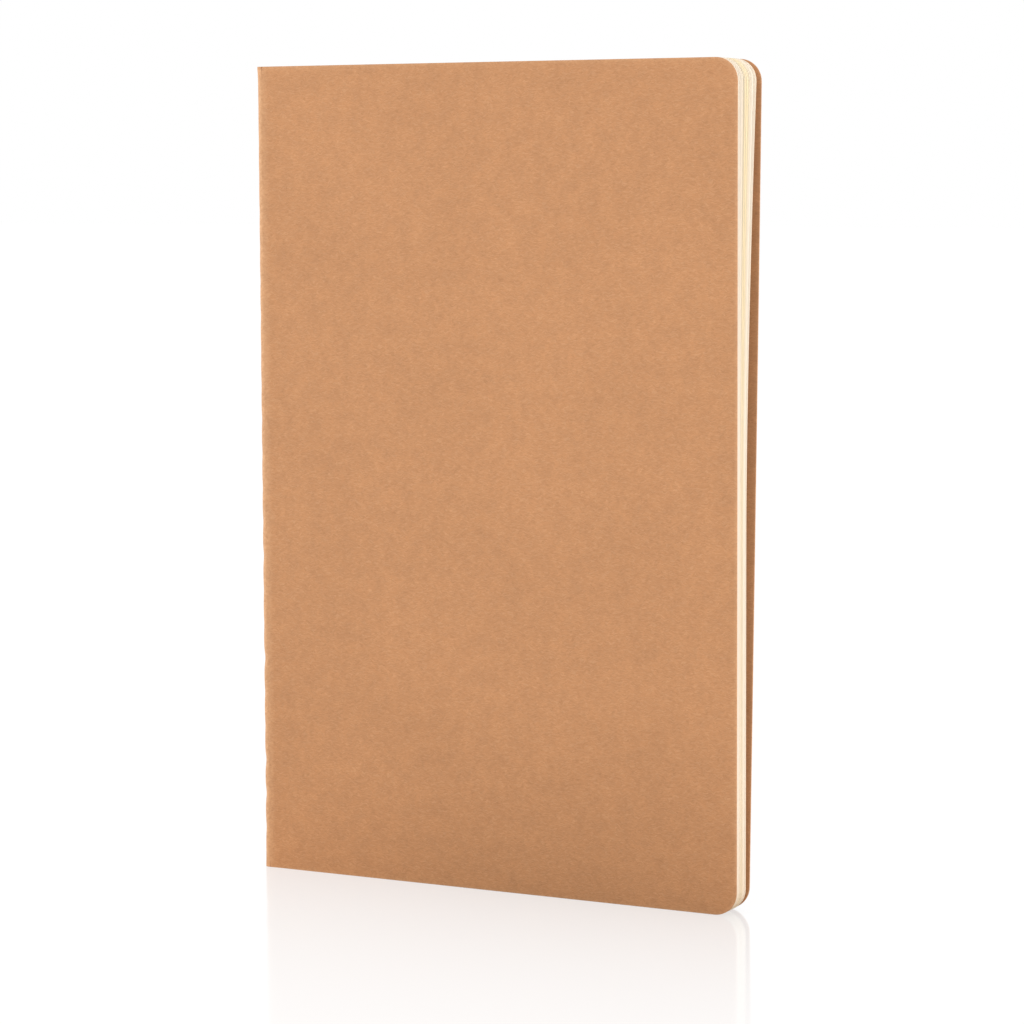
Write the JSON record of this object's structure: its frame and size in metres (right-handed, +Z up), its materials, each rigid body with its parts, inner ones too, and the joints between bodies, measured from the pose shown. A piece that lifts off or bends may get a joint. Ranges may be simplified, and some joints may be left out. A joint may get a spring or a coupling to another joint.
{
  "type": "pocket notebook",
  "caption": "Slim pocket notebook standing upright: plain kraft card cover, rounded fore-edge corners, cream leaves sewn through the fold.",
  "frame": {"origin": "middle of the underside of the whole notebook's box, on the surface it stands on", "axes": "+Z up along the spine, from the tail to the head; +X from the spine to the fore-edge; +Y from the front cover to the back cover"},
  "size_m": [0.0903, 0.011, 0.14],
  "materials": {
    "kraft": "uncoated kraft card, matt, fine dark and light fibres",
    "kraft_back": "uncoated kraft card, matt, fine dark and light fibres",
    "paper": "uncoated cream writing paper, matt",
    "thread": "tan waxed linen thread, plied"
  },
  "bodies": {
    "binding": {"spine_fold": "kraft", "sheet_01_fold": "paper", "sheet_02_fold": "paper", "sheet_03_fold": "paper", "sheet_04_fold": "paper", "sheet_05_fold": "paper", "sheet_06_fold": "paper", "sheet_07_fold": "paper", "sheet_08_fold": "paper", "sheet_09_fold": "paper", "sheet_10_fold": "paper", "sheet_11_fold": "paper", "sheet_12_fold": "paper", "sheet_13_fold": "paper", "sheet_14_fold": "paper", "sheet_15_fold": "paper", "sheet_16_fold": "paper", "spine_thread": "thread", "centre_thread": "thread"},
    "front_cover": {"front_cover": "kraft"},
    "back_cover": {"back_cover": "kraft_back"},
    "front_leaf_01": {"sheet_01_front_leaf": "paper"},
    "front_leaf_02": {"sheet_02_front_leaf": "paper"},
    "front_leaf_03": {"sheet_03_front_leaf": "paper"},
    "front_leaf_04": {"sheet_04_front_leaf": "paper"},
    "front_leaf_05": {"sheet_05_front_leaf": "paper"},
    "front_leaf_06": {"sheet_06_front_leaf": "paper"},
    "front_leaf_07": {"sheet_07_front_leaf": "paper"},
    "front_leaf_08": {"sheet_08_front_leaf": "paper"},
    "front_leaf_09": {"sheet_09_front_leaf": "paper"},
    "front_leaf_10": {"sheet_10_front_leaf": "paper"},
    "front_leaf_11": {"sheet_11_front_leaf": "paper"},
    "front_leaf_12": {"sheet_12_front_leaf": "paper"},
    "front_leaf_13": {"sheet_13_front_leaf": "paper"},
    "front_leaf_14": {"sheet_14_front_leaf": "paper"},
    "front_leaf_15": {"sheet_15_front_leaf": "paper"},
    "front_leaf_16": {"sheet_16_front_leaf": "paper"},
    "back_leaf_01": {"sheet_01_back_leaf": "paper"},
    "back_leaf_02": {"sheet_02_back_leaf": "paper"},
    "back_leaf_03": {"sheet_03_back_leaf": "paper"},
    "back_leaf_04": {"sheet_04_back_leaf": "paper"},
    "back_leaf_05": {"sheet_05_back_leaf": "paper"},
    "back_leaf_06": {"sheet_06_back_leaf": "paper"},
    "back_leaf_07": {"sheet_07_back_leaf": "paper"},
    "back_leaf_08": {"sheet_08_back_leaf": "paper"},
    "back_leaf_09": {"sheet_09_back_leaf": "paper"},
    "back_leaf_10": {"sheet_10_back_leaf": "paper"},
    "back_leaf_11": {"sheet_11_back_leaf": "paper"},
    "back_leaf_12": {"sheet_12_back_leaf": "paper"},
    "back_leaf_13": {"sheet_13_back_leaf": "paper"},
    "back_leaf_14": {"sheet_14_back_leaf": "paper"},
    "back_leaf_15": {"sheet_15_back_leaf": "paper"},
    "back_leaf_16": {"sheet_16_back_leaf": "paper"}
  },
  "joints": [
    {"name": "front_leaf_09_turn", "type": "hinge", "parent": "binding", "child": "front_leaf_09", "pos_m": [-0.04353, -0.00556, 0], "axis": [0, 0, -1], "range_deg": [0, 90]},
    {"name": "front_leaf_10_turn", "type": "hinge", "parent": "binding", "child": "front_leaf_10", "pos_m": [-0.04353, -0.00556, 0], "axis": [0, 0, -1], "range_deg": [0, 78.75]},
    {"name": "front_leaf_11_turn", "type": "hinge", "parent": "binding", "child": "front_leaf_11", "pos_m": [-0.04353, -0.00556, 0], "axis": [0, 0, -1], "range_deg": [0, 67.5]},
    {"name": "front_leaf_12_turn", "type": "hinge", "parent": "binding", "child": "front_leaf_12", "pos_m": [-0.04353, -0.00556, 0], "axis": [0, 0, -1], "range_deg": [0, 56.25]},
    {"name": "front_leaf_13_turn", "type": "hinge", "parent": "binding", "child": "front_leaf_13", "pos_m": [-0.04353, -0.00556, 0], "axis": [0, 0, -1], "range_deg": [0, 45]},
    {"name": "front_leaf_14_turn", "type": "hinge", "parent": "binding", "child": "front_leaf_14", "pos_m": [-0.04353, -0.00556, 0], "axis": [0, 0, -1], "range_deg": [0, 33.75]},
    {"name": "front_leaf_15_turn", "type": "hinge", "parent": "binding", "child": "front_leaf_15", "pos_m": [-0.04353, -0.00556, 0], "axis": [0, 0, -1], "range_deg": [0, 22.5]},
    {"name": "front_leaf_16_turn", "type": "hinge", "parent": "binding", "child": "front_leaf_16", "pos_m": [-0.04353, -0.00556, 0], "axis": [0, 0, -1], "range_deg": [0, 11.25]},
    {"name": "front_leaf_01_turn", "type": "hinge", "parent": "front_leaf_09", "child": "front_leaf_01", "pos_m": [-0.04353, -0.00556, 0], "axis": [0, 0, -1], "range_deg": [0, 85]},
    {"name": "front_leaf_02_turn", "type": "hinge", "parent": "front_leaf_09", "child": "front_leaf_02", "pos_m": [-0.04353, -0.00556, 0], "axis": [0, 0, -1], "range_deg": [0, 74.38]},
    {"name": "front_leaf_03_turn", "type": "hinge", "parent": "front_leaf_09", "child": "front_leaf_03", "pos_m": [-0.04353, -0.00556, 0], "axis": [0, 0, -1], "range_deg": [0, 63.75]},
    {"name": "front_leaf_04_turn", "type": "hinge", "parent": "front_leaf_09", "child": "front_leaf_04", "pos_m": [-0.04353, -0.00556, 0], "axis": [0, 0, -1], "range_deg": [0, 53.12]},
    {"name": "front_leaf_05_turn", "type": "hinge", "parent": "front_leaf_09", "child": "front_leaf_05", "pos_m": [-0.04353, -0.00556, 0], "axis": [0, 0, -1], "range_deg": [0, 42.5]},
    {"name": "front_leaf_06_turn", "type": "hinge", "parent": "front_leaf_09", "child": "front_leaf_06", "pos_m": [-0.04353, -0.00556, 0], "axis": [0, 0, -1], "range_deg": [0, 31.88]},
    {"name": "front_leaf_07_turn", "type": "hinge", "parent": "front_leaf_09", "child": "front_leaf_07", "pos_m": [-0.04353, -0.00556, 0], "axis": [0, 0, -1], "range_deg": [0, 21.25]},
    {"name": "front_leaf_08_turn", "type": "hinge", "parent": "front_leaf_09", "child": "front_leaf_08", "pos_m": [-0.04353, -0.00556, 0], "axis": [0, 0, -1], "range_deg": [0, 10.62]},
    {"name": "back_leaf_09_turn", "type": "hinge", "parent": "binding", "child": "back_leaf_09", "pos_m": [-0.04353, -0.00074, 0], "axis": [0, 0, 1], "range_deg": [0, 90]},
    {"name": "back_leaf_10_turn", "type": "hinge", "parent": "binding", "child": "back_leaf_10", "pos_m": [-0.04353, -0.00074, 0], "axis": [0, 0, 1], "range_deg": [0, 78.75]},
    {"name": "back_leaf_11_turn", "type": "hinge", "parent": "binding", "child": "back_leaf_11", "pos_m": [-0.04353, -0.00074, 0], "axis": [0, 0, 1], "range_deg": [0, 67.5]},
    {"name": "back_leaf_12_turn", "type": "hinge", "parent": "binding", "child": "back_leaf_12", "pos_m": [-0.04353, -0.00074, 0], "axis": [0, 0, 1], "range_deg": [0, 56.25]},
    {"name": "back_leaf_13_turn", "type": "hinge", "parent": "binding", "child": "back_leaf_13", "pos_m": [-0.04353, -0.00074, 0], "axis": [0, 0, 1], "range_deg": [0, 45]},
    {"name": "back_leaf_14_turn", "type": "hinge", "parent": "binding", "child": "back_leaf_14", "pos_m": [-0.04353, -0.00074, 0], "axis": [0, 0, 1], "range_deg": [0, 33.75]},
    {"name": "back_leaf_15_turn", "type": "hinge", "parent": "binding", "child": "back_leaf_15", "pos_m": [-0.04353, -0.00074, 0], "axis": [0, 0, 1], "range_deg": [0, 22.5]},
    {"name": "back_leaf_16_turn", "type": "hinge", "parent": "binding", "child": "back_leaf_16", "pos_m": [-0.04353, -0.00074, 0], "axis": [0, 0, 1], "range_deg": [0, 11.25]},
    {"name": "back_leaf_01_turn", "type": "hinge", "parent": "back_leaf_09", "child": "back_leaf_01", "pos_m": [-0.04353, -0.00074, 0], "axis": [0, 0, 1], "range_deg": [0, 85]},
    {"name": "back_leaf_02_turn", "type": "hinge", "parent": "back_leaf_09", "child": "back_leaf_02", "pos_m": [-0.04353, -0.00074, 0], "axis": [0, 0, 1], "range_deg": [0, 74.38]},
    {"name": "back_leaf_03_turn", "type": "hinge", "parent": "back_leaf_09", "child": "back_leaf_03", "pos_m": [-0.04353, -0.00074, 0], "axis": [0, 0, 1], "range_deg": [0, 63.75]},
    {"name": "back_leaf_04_turn", "type": "hinge", "parent": "back_leaf_09", "child": "back_leaf_04", "pos_m": [-0.04353, -0.00074, 0], "axis": [0, 0, 1], "range_deg": [0, 53.12]},
    {"name": "back_leaf_05_turn", "type": "hinge", "parent": "back_leaf_09", "child": "back_leaf_05", "pos_m": [-0.04353, -0.00074, 0], "axis": [0, 0, 1], "range_deg": [0, 42.5]},
    {"name": "back_leaf_06_turn", "type": "hinge", "parent": "back_leaf_09", "child": "back_leaf_06", "pos_m": [-0.04353, -0.00074, 0], "axis": [0, 0, 1], "range_deg": [0, 31.88]},
    {"name": "back_leaf_07_turn", "type": "hinge", "parent": "back_leaf_09", "child": "back_leaf_07", "pos_m": [-0.04353, -0.00074, 0], "axis": [0, 0, 1], "range_deg": [0, 21.25]},
    {"name": "back_leaf_08_turn", "type": "hinge", "parent": "back_leaf_09", "child": "back_leaf_08", "pos_m": [-0.04353, -0.00074, 0], "axis": [0, 0, 1], "range_deg": [0, 10.62]},
    {"name": "front_cover_hinge", "type": "hinge", "parent": "front_leaf_01", "child": "front_cover", "pos_m": [-0.04353, -0.00556, 0], "axis": [0, 0, 1], "range_deg": [-178, 0]},
    {"name": "back_cover_hinge", "type": "hinge", "parent": "back_leaf_01", "child": "back_cover", "pos_m": [-0.04353, -0.00074, 0], "axis": [0, 0, -1], "range_deg": [-175, 0.6]}
  ],
  "couplings": [
    {"joint": "front_leaf_10_turn", "follows": "front_leaf_09_turn", "ratio": 0.875},
    {"joint": "front_leaf_11_turn", "follows": "front_leaf_09_turn", "ratio": 0.75},
    {"joint": "front_leaf_12_turn", "follows": "front_leaf_09_turn", "ratio": 0.625},
    {"joint": "front_leaf_13_turn", "follows": "front_leaf_09_turn", "ratio": 0.5},
    {"joint": "front_leaf_14_turn", "follows": "front_leaf_09_turn", "ratio": 0.375},
    {"joint": "front_leaf_15_turn", "follows": "front_leaf_09_turn", "ratio": 0.25},
    {"joint": "front_leaf_16_turn", "follows": "front_leaf_09_turn", "ratio": 0.125},
    {"joint": "front_leaf_02_turn", "follows": "front_leaf_01_turn", "ratio": 0.875},
    {"joint": "front_leaf_03_turn", "follows": "front_leaf_01_turn", "ratio": 0.75},
    {"joint": "front_leaf_04_turn", "follows": "front_leaf_01_turn", "ratio": 0.625},
    {"joint": "front_leaf_05_turn", "follows": "front_leaf_01_turn", "ratio": 0.5},
    {"joint": "front_leaf_06_turn", "follows": "front_leaf_01_turn", "ratio": 0.375},
    {"joint": "front_leaf_07_turn", "follows": "front_leaf_01_turn", "ratio": 0.25},
    {"joint": "front_leaf_08_turn", "follows": "front_leaf_01_turn", "ratio": 0.125},
    {"joint": "back_leaf_10_turn", "follows": "back_leaf_09_turn", "ratio": 0.875},
    {"joint": "back_leaf_11_turn", "follows": "back_leaf_09_turn", "ratio": 0.75},
    {"joint": "back_leaf_12_turn", "follows": "back_leaf_09_turn", "ratio": 0.625},
    {"joint": "back_leaf_13_turn", "follows": "back_leaf_09_turn", "ratio": 0.5},
    {"joint": "back_leaf_14_turn", "follows": "back_leaf_09_turn", "ratio": 0.375},
    {"joint": "back_leaf_15_turn", "follows": "back_leaf_09_turn", "ratio": 0.25},
    {"joint": "back_leaf_16_turn", "follows": "back_leaf_09_turn", "ratio": 0.125},
    {"joint": "back_leaf_02_turn", "follows": "back_leaf_01_turn", "ratio": 0.875},
    {"joint": "back_leaf_03_turn", "follows": "back_leaf_01_turn", "ratio": 0.75},
    {"joint": "back_leaf_04_turn", "follows": "back_leaf_01_turn", "ratio": 0.625},
    {"joint": "back_leaf_05_turn", "follows": "back_leaf_01_turn", "ratio": 0.5},
    {"joint": "back_leaf_06_turn", "follows": "back_leaf_01_turn", "ratio": 0.375},
    {"joint": "back_leaf_07_turn", "follows": "back_leaf_01_turn", "ratio": 0.25},
    {"joint": "back_leaf_08_turn", "follows": "back_leaf_01_turn", "ratio": 0.125}
  ]
}
